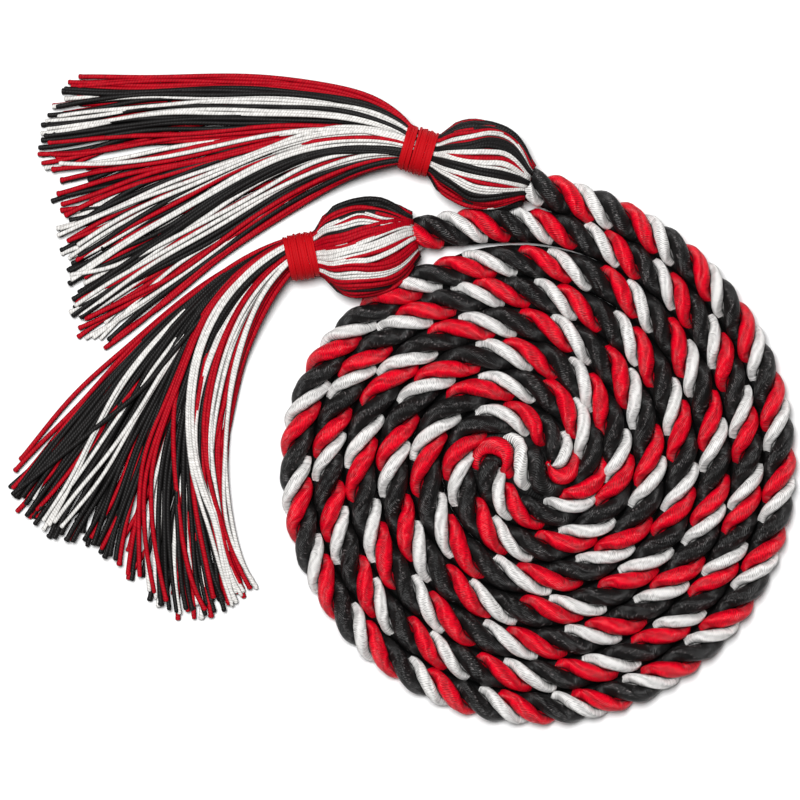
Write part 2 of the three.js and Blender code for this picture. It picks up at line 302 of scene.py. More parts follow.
def strand_tube(lag, half_width, nip, seed):
    """A strand's rings: a sector of the rope, bulging outside and ridged by its plies."""
    line, along = rope_line()
    left, up = across_line(line)
    lays = twist_along(along - HIDDEN_IN_HEAD)
    over_top = (lays * 360 + lag + 180) % 360 - 180
    nipped = nip * ease((np.abs(over_top) - NIPPED_FROM) / NIPPED_OVER)
    half = math.radians(half_width) * (1 - nipped)[:, None]
    turns = np.concatenate([
        np.linspace(0, math.pi, OUTER_SIDES, endpoint=False),
        np.linspace(math.pi, 2 * math.pi, INNER_SIDES + 1),
    ])
    sideways = -np.sign(np.cos(turns)) * np.abs(np.cos(turns)) ** CROWDED_AT_EDGES * half
    # How far a point lies from the strand's edges, mapped for the painted shade there
    edge_shade_map = np.abs(np.sin(turns)) ** EDGE_SHADE_ROUNDNESS
    bulge = np.abs(np.sin(turns)) ** STRAND_ROUNDNESS
    outside = turns < math.pi
    outer = GROOVE_RADIUS + bulge * (ROPE_OUTER - GROOVE_RADIUS)
    inner = GROOVE_RADIUS - bulge * (GROOVE_RADIUS - CORE_RADIUS)
    knots = np.arange(0, along[-1] + SWELL_EVERY, SWELL_EVERY)
    swell = np.interp(along, knots, np.random.default_rng(seed).normal(0, SWELL, len(knots)))
    ply_start = PLY_DRIFT_PER_LAY * lays + seed * PLY_START_PER_SEED
    plies = PLIES_SHOWN * sideways / (2 * half) + ply_start[:, None]
    ridge = 0.5 - 0.5 * np.cos(2 * math.pi * plies) - PLY_SUNK
    reach = np.where(outside, outer, inner) * (1 + swell[:, None] * outside)
    reach = reach + ridge * PLY_RISE * bulge * outside
    angle = math.pi / 2 + 2 * math.pi * lays[:, None] + math.radians(lag) + sideways
    aside = left * spread_out(line, along)[:, None]
    rings = line[:, None] + reach[..., None] * (
        np.cos(angle)[..., None] * aside[:, None] + np.sin(angle)[..., None] * up[:, None]
    )
    rings[..., 2] = np.maximum(rings[..., 2], LYING_HEIGHT)
    offset = sideways * outer * 1000
    threads = along[:, None] * 1000 / math.cos(LAY_ANGLE) + offset * math.sin(LAY_ANGLE)
    thread_map = np.stack(np.broadcast_arrays(threads, offset * math.cos(LAY_ANGLE)), axis=-1)
    ply_map = np.stack(np.broadcast_arrays(plies, edge_shade_map), axis=-1)
    return rings[:, :-1], thread_map, ply_map


def softened(values, over):
    """The means of each value and its neighbours, over this odd number of values."""
    return np.convolve(np.pad(values, over // 2, mode="edge"), np.ones(over) / over, mode="valid")


def bare_beside(line, aside):
    """From 0 to 1, how bare the table is beside a line: 0 where another turn of the rope lies there."""
    rope = rope_route(FINE_STEP_DEGREES)
    beside = line + aside * TURN_SPACING
    nearest = np.array([np.min(np.linalg.norm(rope - point, axis=1)) for point in beside])
    bare = np.clip((nearest / TURN_SPACING - BARE_FROM_TURNS) / BARE_OVER_TURNS, 0, 1)
    return softened(bare, BARE_SOFTENED_OVER)


def shade_core_tube():
    """A black tube low in the rope's middle, which shows in the gaps between the strands as painted
    shade.
    """
    line, along = evenly(rope_line()[0], CORE_STATION_SPACING)
    left, up = across_line(line)
    turns = np.linspace(0, 2 * math.pi, CORE_SIDES, endpoint=False)
    aside = left * spread_out(line, along)[:, None]
    lost = CORE_HALF_WIDTH - CORE_BARE_HALF_WIDTH
    to_left, to_right = (CORE_HALF_WIDTH - lost * bare_beside(line, way) for way in (left, -left))
    half_width = np.where(np.cos(turns)[None] > 0, to_left[:, None], to_right[:, None])
    half_width = half_width + CORE_MIDDLE_EXTRA * near_middle(line, along, CORE_MIDDLE_OVER)[:, None]
    out = (half_width * np.cos(turns)[None])[..., None] * aside[:, None]
    rise = CORE_HALF_HEIGHT * np.sin(turns)[None, :, None] * up[:, None]
    ways = np.linspace(0, 1, CORE_SIDES + 1)
    threads = np.stack(np.broadcast_arrays(along[:, None] * 1000, ways[None]), axis=-1)
    return line[:, None] - up[:, None] * CORE_DROP + out + rise, threads, np.zeros_like(threads)


def skin(name, tubes, material):
    """One mesh of closed tubes. Each tube is its rings of points, then its maps: how far along and across
    its threads each point lies, and in a thick strand which of its plies it lies on and how far from its
    edges, which sets the painted shade at its edges."""
    points, faces = [], []
    maps = [[] for _ in tubes[0][1:]]
    base = 0
    for rings, *tube_maps in tubes:
        count, sides, _ = rings.shape
        corner = base + np.arange(count * sides).reshape(count, sides)
        following = np.roll(corner, -1, axis=1)
        ends = np.full((2, sides), base + count * sides) + np.array([[0], [1]])
        points += [rings.reshape(-1, 3), rings[0].mean(axis=0)[None], rings[-1].mean(axis=0)[None]]
        faces += [
            np.stack([corner[:-1], following[:-1], following[1:], corner[1:]], axis=-1).reshape(-1, 4),
            np.stack([following[0], corner[0], ends[0]], axis=-1),
            np.stack([corner[-1], following[-1], ends[1]], axis=-1),
        ]
        for found, tube_map in zip(maps, tube_maps):
            here, beyond = tube_map[:, :-1], tube_map[:, 1:]
            found += [
                np.stack([here[:-1], beyond[:-1], beyond[1:], here[1:]], axis=2).reshape(-1, 2),
                np.stack([beyond[0], here[0], here[0]], axis=1).reshape(-1, 2),
                np.stack([here[-1], beyond[-1], here[-1]], axis=1).reshape(-1, 2),
            ]
        base += count * sides + 2
    mesh = bpy.data.meshes.new(name)
    mesh.vertices.add(base)
    mesh.vertices.foreach_set("co", np.concatenate(points).astype(np.float32).reshape(-1))
    corners = np.concatenate([face.reshape(-1) for face in faces])
    mesh.loops.add(len(corners))
    mesh.loops.foreach_set("vertex_index", corners.astype(np.int32))
    sizes = np.concatenate([np.full(len(face), face.shape[1]) for face in faces])
    mesh.polygons.add(len(sizes))
    mesh.polygons.foreach_set("loop_start", (np.cumsum(sizes) - sizes).astype(np.int32))
    mesh.update(calc_edges=True)
    mesh.shade_smooth()
    for map_name, found in zip(("threads", "plies"), maps):
        layer = mesh.uv_layers.new(name=map_name)
        layer.uv.foreach_set("vector", np.concatenate(found).astype(np.float32).reshape(-1))
    mesh.materials.append(material)
    piece = bpy.data.objects.new(name, mesh)
    bpy.context.scene.collection.objects.link(piece)
    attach(piece, "root")
    return piece


def join(tree, value, socket):
    """Links an output to a socket, or sets the socket to a number."""
    if isinstance(value, bpy.types.NodeSocket):
        tree.links.new(value, socket)
    else:
        socket.default_value = value


def maths(tree, operation, *values):
    """What a sum of these outputs or numbers comes to."""
    node = tree.nodes.new("ShaderNodeMath")
    node.operation = operation
    for socket, value in zip(node.inputs, values):
        join(tree, value, socket)
    return node.outputs[0]


def wave(tree, turns, shape="SINE"):
    """A wave that comes round once in each whole turn."""
    return maths(tree, shape, maths(tree, "MULTIPLY", turns, 2 * math.pi))


def noise(tree, place, scale, detail):
    """A soft random pattern from 0 to 1."""
    node = tree.nodes.new("ShaderNodeTexNoise")
    node.inputs["Scale"].default_value = scale
    node.inputs["Detail"].default_value = detail
    join(tree, place, node.inputs["Vector"])
    return node.outputs["Fac"]


def spread(tree, value, low, high, to_low=0.0, to_high=1.0):
    """The range from low to high drawn out to another range, and cut off past it."""
    node = tree.nodes.new("ShaderNodeMapRange")
    for socket, number in zip(node.inputs, (value, low, high, to_low, to_high)):
        join(tree, number, socket)
    return node.outputs[0]


def thread_place(tree, map_name):
    """A map of a piece, and how far along and across it a point lies."""
    found = tree.nodes.new("ShaderNodeUVMap")
    found.uv_map = map_name
    parts = tree.nodes.new("ShaderNodeSeparateXYZ")
    join(tree, found.outputs["UV"], parts.inputs[0])
    return found.outputs["UV"], parts.outputs["X"], parts.outputs["Y"]


def new_group(name, inputs):
    """A shader node group with these number inputs, which gives a shade and a height."""
    group = bpy.data.node_groups.new(name, "ShaderNodeTree")
    for socket, value in inputs.items():
        made = group.interface.new_socket(socket, in_out="INPUT", socket_type="NodeSocketFloat")
        made.default_value = value
    for socket in ("Shade", "Height"):
        group.interface.new_socket(socket, in_out="OUTPUT", socket_type="NodeSocketFloat")
    return group, group.nodes.new("NodeGroupInput"), group.nodes.new("NodeGroupOutput")


WOUND_MEASURES = {"Threads per mm": 2.9, "Slant": 0.3, "Unevenness": 0.3, "Groove": 0.28, "Glint": 0.0}
STREAKS_ACROSS = 0.9
STREAK_RANGE = (0.3, 0.7)
STREAK_DARKEST = 0.24
STREAK_SHARE = 0.55
THREAD_GAP_SHADE_SHARE = 0.32
PLY_WANDER = 1.2
RAGGED_EDGE_SHADE = 0.5
EDGE_SHADE_RANGE = (0.5, 1.0)
SHADE_DARKEST = 0.54
SHADE_SHARE = 0.72
GLINT_SPECK_RANGE = (0.58, 0.68)
GLINT_CREST_RANGE = (0.5, 0.9)
STREAK_HEIGHT = 0.7


def wound_threads_group():
    """Fine threads wound across the plies of a strand. Painted shade darkens it a little between its
    threads and its plies, and to black at its edges where the next strand covers this one; a strand may
    also be given painted glints on its plies' crests."""
    group, given, made = new_group("wound_threads", WOUND_MEASURES)
    place, along, across = thread_place(group, "threads")
    wander = noise(group, place, scale=0.7, detail=1.0)
    counted = maths(group, "MULTIPLY_ADD", across, given.outputs["Slant"], along)
    counted = maths(group, "MULTIPLY_ADD", wander, given.outputs["Unevenness"], counted)
    counted = maths(group, "MULTIPLY", counted, given.outputs["Threads per mm"])
    at = group.nodes.new("ShaderNodeCombineXYZ")
    join(group, counted, at.inputs["X"])
    join(group, maths(group, "MULTIPLY", across, STREAKS_ACROSS), at.inputs["Y"])
    # The threads' streaks: a random tone, with painted shade in the lines between the threads
    streak = spread(group, noise(group, at.outputs[0], scale=1.0, detail=3.0), *STREAK_RANGE)
    streak = maths(group, "MULTIPLY_ADD", streak, STREAK_SHARE, STREAK_DARKEST)
    streak = maths(group, "MULTIPLY_ADD", wave(group, counted), THREAD_GAP_SHADE_SHARE, streak)
    _, ply, bulge = thread_place(group, "plies")
    bent_ply = maths(group, "MULTIPLY_ADD", noise(group, place, scale=0.3, detail=1.0), PLY_WANDER, ply)
    crest = maths(group, "MULTIPLY_ADD", wave(group, bent_ply, "COSINE"), -0.5, 0.5)
    # Painted shade at the strand's edges, where the next strand covers it: black at the very edge, ragged
    # along the threads
    edge = spread(group, maths(group, "MULTIPLY_ADD", streak, RAGGED_EDGE_SHADE, bulge), *EDGE_SHADE_RANGE)
    # Painted shade in the grooves between the plies
    grooves = maths(group, "MULTIPLY", maths(group, "SUBTRACT", 1.0, crest), given.outputs["Groove"])
    shade = maths(group, "MULTIPLY_ADD", streak, SHADE_SHARE, SHADE_DARKEST)
    shade = maths(group, "MULTIPLY", maths(group, "SUBTRACT", shade, grooves), edge)
    # Painted glints: light specks on the crests of the plies
    glint_on_crest = spread(group, maths(group, "MULTIPLY", crest, edge), *GLINT_CREST_RANGE)
    glint_speck = spread(group, noise(group, at.outputs[0], scale=1.3, detail=2.0), *GLINT_SPECK_RANGE)
    glint_speck = maths(group, "MULTIPLY", glint_speck, glint_on_crest)
    shade = maths(group, "MULTIPLY_ADD", glint_speck, given.outputs["Glint"], shade)
    join(group, shade, made.inputs["Shade"])
    join(group, maths(group, "MULTIPLY_ADD", streak, STREAK_HEIGHT, crest), made.inputs["Height"])
    return group


ROUGHER_IN_GROOVES = 0.15
SMOOTHER_ON_THREADS = 0.08


def satin(name, threads_group, deep, bright, rough, specular, height, **measures):
    """Satin yarn: its deep colour where the shade is painted between its plies and threads, and its
    bright one along them. Its painted glints are brighter than its bright colour."""
    material = bpy.data.materials.new(name)
    material.use_nodes = True
    tree = material.node_tree
    surface = tree.nodes["Principled BSDF"]
    surface.inputs["Specular IOR Level"].default_value = specular
    threads = tree.nodes.new("ShaderNodeGroup")
    threads.node_tree = threads_group
    for measure, value in measures.items():
        threads.inputs[measure.capitalize()].default_value = value
    shade = threads.outputs["Shade"]
    # Painted shade and highlight: the shade mixes the colour from the deep one to the bright one
    colour = tree.nodes.new("ShaderNodeMix")
    colour.data_type = "RGBA"
    # Painted glints may carry the colour past the bright one, so the mix isn't cut off where they are
    # asked for
    colour.clamp_factor = "glint" not in measures
    for socket, value in zip(("A", "B"), (deep, bright)):
        [s for s in colour.inputs if s.name == socket and s.type == "RGBA"][0].default_value = (*value, 1)
    join(tree, shade, colour.inputs["Factor"])
    mixed = [s for s in colour.outputs if s.type == "RGBA"][0]
    join(tree, mixed, surface.inputs["Base Color"])
    roughness = spread(tree, shade, 0.0, 1.0, rough + ROUGHER_IN_GROOVES, rough - SMOOTHER_ON_THREADS)
    join(tree, roughness, surface.inputs["Roughness"])
    bump = tree.nodes.new("ShaderNodeBump")
    bump.inputs["Distance"].default_value = height
    join(tree, threads.outputs["Height"], bump.inputs["Height"])
    join(tree, bump.outputs["Normal"], surface.inputs["Normal"])
    return material


wound = wound_threads_group()
# Each satin's deep colour is where its painted shade falls and between its threads, and its bright one
# its threads
SATIN = {
    # The red strand's ply grooves carry darker painted shade than the others'
    "red": satin(
        "red_satin", wound, deep=(0.01, 0.0, 0.001), bright=(0.9, 0.0, 0.018),
        rough=0.4, specular=0.3, height=0.0002, groove=0.36,
    ),
    "white": satin(
        "white_satin", wound, deep=(0.01, 0.01, 0.01), bright=(0.95, 0.93, 0.91),
        rough=0.5, specular=0.2, height=0.00018,
    ),
    # The black satin has painted glints: light specks on its plies' crests
    "black": satin(
        "black_satin", wound, deep=(0.0, 0.0, 0.0), bright=(0.008, 0.007, 0.007),
        rough=0.42, specular=0.3, height=0.0002, glint=20.0,
    ),
}

ROPE_ROUTE = rope_route(ROUTE_STEP_DEGREES)
UPPER_ROPE_END = ROPE_ROUTE[0]
LOWER_ROPE_END = ROPE_ROUTE[-1]
for colour, measures in STRANDS.items():
    # The black strand's piece also holds the black tube that stands in for the deep shade between the
    # strands
    shade_core = [shade_core_tube()] if colour == "black" else []
    piece = skin(f"rope_{colour}", [strand_tube(*measures), *shade_core], SATIN[colour])
    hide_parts("rope_coil", "upper_rope_lead", "lower_rope_lead")

# The tassels
# Each is a bundle of some hundred thin braided yarns, folded over the rope's end and tied below it
# with wound thread: a bulb above the binding, and a skirt of cut ends that lies fanned out.
BINDING_LENGTH = 0.0066
NECK_HEIGHT = 0.0057
HEAD_LENGTH = 0.0226
HEAD_HEIGHT = 0.0156
HEAD_RISE = 0.0019
CLEARANCE = 0.0003
SKIRT_LENGTH = 0.084
YARN_RADIUS = 0.0006
YARN_THICKNESS = {"r": 1.0, "w": 0.88, "k": 1.0}
YARN_SIDES = 7
# The skirts' yarns: where they start in the binding, how they curve and sway, and the last steps
# to their cut ends
SKIRT_STATIONS = 38
END_STEPS = np.array((0.012, 0.007, 0.002, 0))
STARTS_INSIDE = 0.4
TIED_IN = 0.8
TIED_RADIUS = 0.0041
NECK_ROUNDNESS = 0.9
ROOT_PULL = 0.26
TIP_PULL = 0.35
YARN_WAVES = 2.3
YARN_SWAY = 0.75
SWAY_GROWS_OVER = 0.25
# How the skirts' yarns are stacked, from level 0 on the table to the top level
TOP_LEVEL = 9
LEVEL_CHANGES = (0.28, 0.45)
STACK_AT_BINDING = 0.0056
STACK_LOST_AT_ENDS = 0.0026
STACK_AT_EDGE = 0.45
EDGE_RISES_OVER = 0.25
LEAST_FROM_EDGE = 0.02
LIES_DOWN_BY = 0.42
RIPPLE = 0.0001
RIPPLE_WAVES = 3.91
RIPPLE_SWAY = 3
# The heads, from the binding at 0 to the rope at 1: how wide and high they are there, how far they
# are bowed, and how deep their yarns are tucked in at both ends
HEAD_STATIONS = 22
HEAD_PLACES = (0, 0.1, 0.26, 0.45, 0.64, 0.8, 0.93, 1)
HEAD_SIZES = (0.45, 0.76, 0.96, 1, 0.95, 0.82, 0.64, 0.42)
HEAD_BOWS = (0, 0.5, 1, 1, 0.9, 0.6, 0.2, 0)
SECTION_STEPS = 60
SECTION_SOFTENED_OVER = 9
HEAD_YARNS_FROM = -0.12
HEAD_SHARES_FROM = 0.05
HEAD_SHARES_OVER = 0.9
EDGE_AT_BINDING = 0.85
EDGE_GROWS_BY = 0.3
EDGE_GROWS_OVER = 0.3
TUCK_AT_MIDDLE = 0.3
TUCK_NEAR_BINDING = 0.35
TUCK_NEAR_ROPE = 0.25
LEAST_HALF_SIZE = 0.001
# The yarns of each head that show: the colour, whether they are a pair on its surface (0) or a
# single one a little below it (1), and how far across the head they lie at five places from the
# binding to the rope, from 100 at its left edge to -100 at its right one
UPPER_HEAD = (
    ("r", 1, 104, 106, 108, 110, 106),
    ("k", 0, 98, 98, 104, 110, 108),
    ("k", 0, 86, 86, 98, 107, 106),
    ("r", 0, 76, 74, 96, 104, 98),
    ("w", 0, 51, 56, 84, 96, 80),
    ("r", 1, 35, 41, 70, 82, 70),
    ("k", 0, 25, 31, 62, 74, 66),
    ("k", 1, 20, 24, 50, 60, 56),
    ("w", 0, 11, 15, 33, 50, 42),
    ("r", 1, 5, 1, 14, 34, 34),
    ("w", 0, 0, -8, 3, 22, 25),
    ("w", 1, -7, -17, -9, 7, 17),
    ("k", 0, -26, -25, -20, -11, 2),
    ("w", 0, -42, -41, -35, -28, -18),
    ("r", 1, -48, -47, -47, -42, -30),
    ("w", 0, -55, -56, -62, -54, -37),
    ("w", 1, -61, -66, -74, -65, -43),
    ("k", 0, -72, -74, -87, -74, -49),
    ("r", 1, -88, -87, -97, -90, -63),
    ("r", 0, -104, -102, -106, -98, -77),
    ("w", 1, -104, -108, -110, -106, -90),
)
LOWER_HEAD = (
    ("k", 0, 112, 108, 109, 110, 96),
    ("k", 1, 104, 100, 100, 99, 84),
    ("r", 0, 96, 91, 90, 80, 62),
    ("k", 1, 89, 80, 83, 76, 60),
    ("w", 0, 83, 75, 80, 60, 54),
    ("r", 1, 73, 67, 72, 56, 50),
    ("w", 0, 74, 61, 61, 46, 43),
    ("k", 1, 59, 48, 49, 42, 40),
    ("r", 0, 44, 37, 42, 48, 58),
    ("w", 1, 26, 24, 36, 37, 45),
    ("r", 0, 19, 20, 28, 33, 50),
    ("w", 0, 9, 12, 16, 27, 40),
    ("w", 0, -6, 2, 3, 11, 23),
    ("w", 0, -22, -8, -5, 0, 9),
    ("r", 1, -34, -17, -15, -11, -4),
    ("w", 0, -39, -23, -28, -24, -17),
    ("r", 1, -44, -28, -40, -44, -40),
    ("r", 0, -51, -34, -45, -53, -57),
    ("r", 1, -60, -42, -53, -63, -70),
    ("w", 0, -76, -55, -61, -69, -76),
    ("w", 1, -85, -63, -69, -77, -83),
    ("r", 0, -95, -74, -78, -88, -92),
    ("r", 1, -105, -86, -88, -97, -98),
    ("k", 1, -108, -92, -94, -102, -101),
    ("r", 0, -112, -101, -101, -106, -104),
    ("w", 1, -110, -106, -107, -108, -105),
)
# The yarns of each skirt that show: the colour, the level, or one before it changes and one
# after, and how far across the fan they lie at five places from the binding to the cut ends,
# from 0 at its upper edge to 100 at its lower one
UPPER_SKIRT = (
    ("r", 9, -5, -5, -4, -5, -5),
    ("r", 8, -4, -3, -3, -3, -3),
    ("r", 9, -3, 0, 0, -1, -1),
    ("r", 8, -2, 2, 2, 1, -2),
    ("r", 7, -1, 4, 4, 3, 0),
    ("k", 8, 0, 6, 6, 5, 2),
    ("k", 7, 2, 8, 8, 6, 3),
    ("k", 8, 3, 9, 10, 8, 10),
    ("w", (5, 3), 5, 8, 10, 7, 6),
    ("w", 7, 8, 11, 12, 9, 10),
    ("k", 5, 9, 12, 13, 11, 13),
    ("w", 8, 10, 13, 14, 13, 15),
    ("k", (10, 7), 19, 19, 18, 15, 16),
    ("w", 7, 13, 15, 15, 14, 16),
    ("k", 7, 18, 18, 17, 15, 17),
    ("w", 7, 21, 22, 20, 17, 19),
    ("w", 9, 23, 23, 20, 17, 19),
    ("w", 8, 25, 26, 22, 18, 20),
    ("k", (4, 8), 28, 28, 24, 19, 21),
    ("k", (4, 8), 29, 29, 26, 21, 22),
    ("k", (4, 8), 30, 30, 28, 23, 23),
    ("k", (4, 7), 31, 32, 30, 26, 25),
    ("r", 7, 31, 34, 31, 28, 23),
    ("r", 6, 32, 35, 33, 31, 28),
    ("r", 5, 33, 36, 35, 31, 30),
    ("w", 8, 35, 37, 37, 38, 30),
    ("r", 7, 36, 38, 37, 36, 34),
    ("r", 6, 37, 39, 40, 39, 37),
    ("w", (9, 5), 40, 37, 37, 34, 33),
    ("r", 6, 38, 41, 43, 42, 41),
    ("r", 6, 39, 43, 44, 44, 45),
    ("r", 5, 40, 44, 45, 46, 50),
    ("k", 6, 41, 44, 44, 47, 55),
    ("k", 5, 42, 45, 46, 49, 56),
    ("w", 9, 29, 36, 48, 52, 54),
    ("w", (9, 5), 31, 39, 48, 53, 54),
    ("w", 9, 33, 41, 50, 54, 55),
    ("r", (10, 3), 44, 47, 50, 55, 58),
    ("k", (6, 3), 46, 48, 53, 57, 60),
    ("r", 6, 42, 44, 49, 56, 59),
    ("w", 9, 37, 43, 52, 57, 61),
    ("w", (9, 3), 44, 47, 54, 60, 63),
    ("w", (9, 3), 49, 51, 56, 62, 65),
    ("w", (8, 5), 40, 46, 54, 59, 63),
    ("k", 6, 44, 48, 52, 60, 64),
    ("r", 5, 46, 50, 56, 61, 66),
    ("w", 8, 50, 52, 58, 66, 69),
    ("k", 5, 52, 54, 60, 66, 69),
    ("w", 8, 58, 55, 60, 67, 70),
    ("k", (10, 6), 65, 58, 63, 69, 68),
    ("k", (10, 6), 69, 60, 65, 71, 72),
    ("k", (10, 7), 73, 62, 67, 73, 76),
    ("r", 5, 58, 60, 66, 70, 72),
    ("w", 9, 64, 67, 75, 76, 69),
    ("k", 9, 62, 60, 65, 74, 77),
    ("k", 8, 63, 61, 67, 75, 78),
    ("r", 6, 66, 71, 75, 80, 79),
    ("w", 7, 66, 64, 69, 78, 81),
    ("w", 9, 71, 75, 80, 79, 81),
    ("k", 6, 72, 76, 82, 81, 84),
    ("w", 8, 75, 77, 82, 83, 85),
    ("k", 8, 79, 81, 86, 85, 86),
    ("k", 7, 80, 83, 89, 87, 80),
    ("r", 8, 81, 86, 92, 94, 88),
    ("r", 7, 84, 89, 94, 95, 90),
    ("w", 6, 83, 88, 92, 91, 101),
    ("w", 7, 86, 92, 96, 97, 98),
    ("k", 8, 88, 94, 98, 100, 103),
    ("w", 5, 92, 97, 99, 98, 96),
    ("r", 8, 93, 99, 101, 103, 105),
    ("r", 6, 95, 101, 103, 104, 104),
)
LOWER_SKIRT = (
    ("r", 5, -2, -6, -9, -9, -4),
    ("r", 8, -4, -6, -6, -3, -1),
    ("r", 7, -3, -5, -4, 0, 3),
    ("k", 8, -3, -4, -3, 1, 5),
    ("k", 7, -3, -4, -1, 3, 6),
    ("r", 5, -2, -1, 2, 6, 6),
    ("k", 8, -2, -3, 1, 5, 8),
    ("w", 5, -1, -1, -1, 6, 15),
    ("k", 7, -2, -1, 3, 8, 10),
    ("k", 8, -1, -1, 5, 10, 12),
    ("w", (2, 11), 1, 2, 5, 17, 21),
    ("w", (2, 10), 1, 3, 7, 18, 23),
    ("k", 7, -1, 0, 8, 12, 15),
    ("k", 8, 0, 1, 10, 13, 16),
    ("k", 7, 0, 3, 12, 16, 18),
    ("r", (3, 7), 2, 12, 19, 18, 17),
    ("k", 7, 0, 4, 14, 20, 20),
    ("r", (3, 6), 2, 13, 20, 20, 19),
    ("k", (8, 12), 3, 22, 24, 15, 5),
    ("w", (3, 9), 2, 12, 21, 21, 23),
    ("w", (3, 11), 2, 13, 27, 27, 24),
    ("w", (3, 10), 3, 14, 28, 30, 27),
    ("k", 8, 1, 6, 17, 24, 26),
    ("k", 7, 1, 8, 20, 25, 28),
    ("r", 5, 3, 8, 24, 31, 30),
    ("k", 8, 2, 9, 23, 29, 31),
    ("k", 8, 1, 10, 25, 33, 33),
    ("k", 7, 2, 12, 27, 35, 36),
    ("r", 6, 3, 9, 26, 38, 38),
    ("k", 8, 2, 13, 30, 36, 39),
    ("r", 6, 4, 11, 29, 43, 43),
    ("k", 8, 3, 14, 32, 40, 41),
    ("k", 7, 3, 15, 34, 42, 45),
    ("r", 7, 5, 12, 31, 46, 50),
    ("k", 8, 3, 16, 35, 44, 47),
    ("k", 7, 4, 17, 37, 46, 49),
    ("r", 9, 3, 16, 38, 47, 59),
    ("r", 9, 5, 19, 40, 50, 64),
    ("r", 9, 7, 21, 42, 53, 69),
    ("r", 8, 9, 23, 43, 68, 84),
    ("w", (3, 7), 13, 32, 47, 54, 62),
    ("w", (3, 6), 14, 33, 50, 57, 64),
    ("k", (4, 8), 10, 26, 47, 57, 67),
    ("w", (3, 5), 15, 35, 53, 60, 65),
    ("k", (4, 8), 11, 28, 49, 60, 70),
    ("k", (4, 7), 12, 30, 51, 63, 72),
    ("w", (3, 6), 16, 36, 60, 68, 73),
    ("k", (4, 8), 13, 31, 53, 67, 77),
    ("r", 5, 17, 36, 58, 70, 76),
    ("k", (4, 7), 14, 32, 55, 71, 79),
    ("w", (3, 5), 17, 38, 62, 73, 80),
    ("k", (4, 8), 15, 33, 57, 75, 83),
    ("r", (3, 7), 18, 36, 62, 79, 87),
    ("k", (4, 6), 18, 35, 60, 80, 91),
    ("w", 9, 12, 26, 52, 84, 92),
    ("w", 9, 17, 29, 55, 86, 95),
    ("w", 9, 21, 32, 58, 88, 97),
    ("k", 5, 26, 35, 57, 84, 90),
    ("k", (9, 4), 31, 38, 56, 75, 85),
    ("k", (9, 4), 33, 40, 58, 77, 86),
    ("k", (8, 4), 35, 43, 60, 79, 87),
    ("k", (7, 4), 36, 45, 62, 82, 88),
    ("w", 8, 38, 48, 61, 87, 96),
    ("w", 7, 40, 50, 63, 89, 98),
    ("r", 8, 42, 53, 71, 90, 100),
    ("r", 8, 45, 56, 73, 91, 102),
    ("r", (8, 4), 47, 59, 74, 90, 99),
    ("k", 5, 40, 52, 67, 84, 93),
    ("w", 8, 52, 64, 76, 89, 94),
    ("w", 7, 55, 67, 78, 91, 99),
    ("r", 5, 52, 62, 72, 86, 92),
    ("w", 6, 57, 70, 80, 90, 97),
    ("r", (6, 4), 62, 75, 84, 93, 98),
    ("r", (6, 4), 64, 77, 86, 92, 97),
    ("w", 8, 62, 79, 91, 96, 104),
    ("w", 8, 66, 81, 92, 98, 105),
    ("r", (6, 4), 71, 84, 91, 94, 97),
    ("r", (5, 3), 78, 87, 92, 95, 98),
    ("r", (5, 3), 86, 90, 93, 95, 99),
    ("r", (5, 3), 94, 93, 93, 96, 98),
)
# The fan of each skirt, from its upper edge to its lower: how far the yarns reach, the bearing of
# their tips from the binding, and their headings where they leave it and where they end
TASSELS = {
    "upper_tassel": {
        "rope_end": UPPER_ROPE_END,
        "heading": -17.2,
        "head_width": 0.0194,
        "head_lean": 0.0012,
        "root_spread": 0.009,
        "reach": (0.933, 0.963, 0.974, 0.995, 0.944, 0.948, 0.962, 0.956, 0.973, 1.006, 1.01, 0.99),
        "bearing": (169.8, 172.9, 177, 180.8, 185.2, 189.5, 193.7, 198.3, 202.8, 206.4, 209.4, 212.4),
        "leave": (133, 140, 147, 153, 158, 163, 167, 172, 176, 181, 185, 189),
        "end": (181, 183, 186, 189, 192, 195, 199, 203, 207, 210, 212, 215),
        "head_yarns": UPPER_HEAD,
        "skirt_yarns": UPPER_SKIRT,
    },
    "lower_tassel": {
        "rope_end": LOWER_ROPE_END,
        "heading": 11,
        "head_width": 0.0216,
        "head_lean": -0.0012,
        "root_spread": 0.0078,
        "reach": (0.95, 0.985, 0.982, 0.975, 0.957, 0.952, 0.968, 0.996, 1.01, 0.997, 0.951, 0.912),
        "bearing": (218.4, 221.7, 225.6, 230.4, 234.5, 238.6, 243.6, 248.5, 252.8, 256.7, 260.1, 262.9),
        "leave": (200, 203, 205, 207, 210, 213, 216, 219, 222, 226, 229, 232),
        "end": (225, 228, 233, 239, 245, 251, 257, 263, 269, 275, 281, 287),
        "head_yarns": LOWER_HEAD,
        "skirt_yarns": LOWER_SKIRT,
    },
}
# The yarns below the ones that show: the colours of each quarter of the skirt from its upper edge,
# how many there are, and a seed for their places
FILLERS = {
    "upper_tassel": (("rrk", "kkr", "rkkw", "rkrw"), 70, 11),
    "lower_tassel": (("kkkr", "kkk", "kkkr", "wrr"), 60, 12),
}
FILLERS_FROM = 3
FILLERS_OVER = 90
FILLER_PLACE = (0.1, 0.9)
FILLER_WANDER = 4
FILLER_LEVELS = (0, 4.5)
FILLER_REACH = (0.9, 1.03)
POINTS_PER_YARN = 5
# How much the yarns of the skirts and the heads differ from each other
THICKNESS_VARIES = (0.92, 1.06)
HEAD_THICKNESS_VARIES = (0.92, 1.1)
BEAD_VARIES = (0.9, 1.3)
BEAD_SHAPE = np.array((1, 0.9, 0.5))
REACH_VARIES = (0.97, 1.02)
LEVEL_VARIES = 0.8
HEAD_WANDER = 1.5
HEAD_TUCK_VARIES = 0.0003
TWIST_STARTS = (0, 90)
